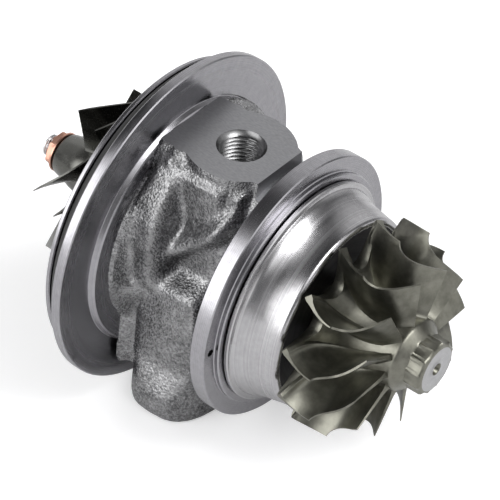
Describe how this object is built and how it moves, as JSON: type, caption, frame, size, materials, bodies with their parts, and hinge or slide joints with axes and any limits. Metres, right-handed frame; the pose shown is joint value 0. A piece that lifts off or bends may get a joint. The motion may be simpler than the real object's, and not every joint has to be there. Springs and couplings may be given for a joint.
{
  "type": "turbocharger cartridge",
  "caption": "Turbocharger cartridge: cast bearing housing between two machined flanges, heat shield, shaft in floating bearings, bladed turbine and compressor wheels.",
  "frame": {"origin": "on the rotor axis, at the middle of the cartridge's length", "axes": "+X along the rotor from the compressor to the turbine, +Z towards the oil inlet pad, -Z towards the oil drain flange"},
  "size_m": [0.1312, 0.0958, 0.0958],
  "materials": {
    "cast_iron": "grit-blasted casting with machined flanges",
    "machined_steel": "turned",
    "turbine_superalloy": "investment cast, dark olive grey",
    "machined_aluminium": "machined",
    "bearing_bronze": "bored and ground",
    "copper_plate": "copper plated",
    "black_rubber": "moulded"
  },
  "bodies": {
    "housing": {"bearing_housing": "cast_iron", "heat_shield": "machined_steel", "cover_o_ring": "black_rubber", "insert": "machined_aluminium", "insert_o_ring": "black_rubber", "insert_snap_ring": "machined_steel", "oil_deflector": "machined_steel", "thrust_bearing": "bearing_bronze", "thrust_bearing_pin_1": "machined_steel", "thrust_bearing_pin_2": "machined_steel", "bearing_snap_ring_1": "machined_steel", "bearing_snap_ring_2": "machined_steel", "bearing_snap_ring_3": "machined_steel", "compressor_piston_ring": "machined_steel", "turbine_piston_ring": "machined_steel"},
    "rotor": {"rotor_shaft": "machined_steel", "turbine_wheel": "turbine_superalloy", "compressor_wheel": "machined_aluminium", "thrust_sleeve": "machined_steel", "thrust_ring": "machined_steel", "lock_nut": "copper_plate"},
    "compressor_bush": {"journal_bearing_compressor": "bearing_bronze"},
    "turbine_bush": {"journal_bearing_turbine": "bearing_bronze"}
  },
  "joints": [
    {"name": "rotor_spin", "type": "hinge", "parent": "housing", "child": "rotor", "pos_m": [0, 0, 0], "axis": [1, 0, 0], "continuous": true},
    {"name": "compressor_bush_spin", "type": "hinge", "parent": "housing", "child": "compressor_bush", "pos_m": [-0.0046, 0, 0], "axis": [1, 0, 0], "continuous": true},
    {"name": "turbine_bush_spin", "type": "hinge", "parent": "housing", "child": "turbine_bush", "pos_m": [0.0129, 0, 0], "axis": [1, 0, 0], "continuous": true}
  ]
}
